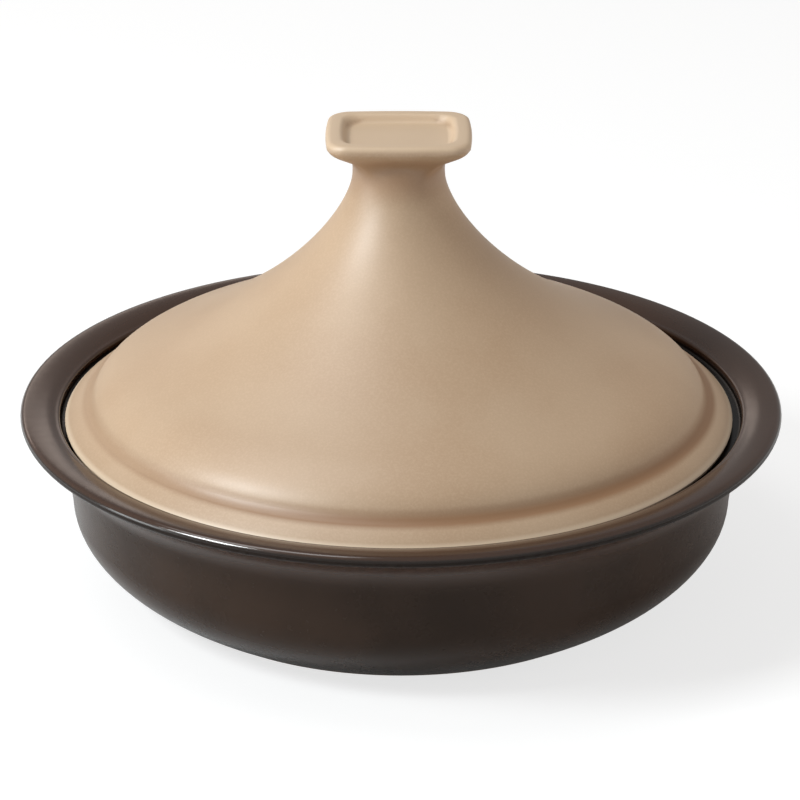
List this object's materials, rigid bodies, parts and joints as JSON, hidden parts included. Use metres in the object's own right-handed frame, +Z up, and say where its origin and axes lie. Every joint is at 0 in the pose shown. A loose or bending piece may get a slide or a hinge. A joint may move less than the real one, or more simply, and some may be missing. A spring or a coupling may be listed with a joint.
{
  "type": "tagine",
  "caption": "Round stoneware cooking dish with a broad flange and a trumpet-shaped lid that lifts off a stepped seat by its oblong knob.",
  "frame": {"origin": "centre of the foot ring, on the table", "axes": "+Z up along the dish's axis, +X along the knob's longer side, the picture taken from the -Y side"},
  "size_m": [0.31, 0.31, 0.1909],
  "materials": {
    "dark_glaze": "satin dark brown glaze",
    "sand_glaze": "matt sand-beige glaze"
  },
  "bodies": {
    "dish": {"dish": "dark_glaze"},
    "lid": {"lid": "sand_glaze"}
  },
  "joints": [
    {"name": "lid_lift", "type": "slide", "parent": "dish", "child": "lid", "axis": [0, 0, 1], "range_m": [0, 0.15]}
  ]
}
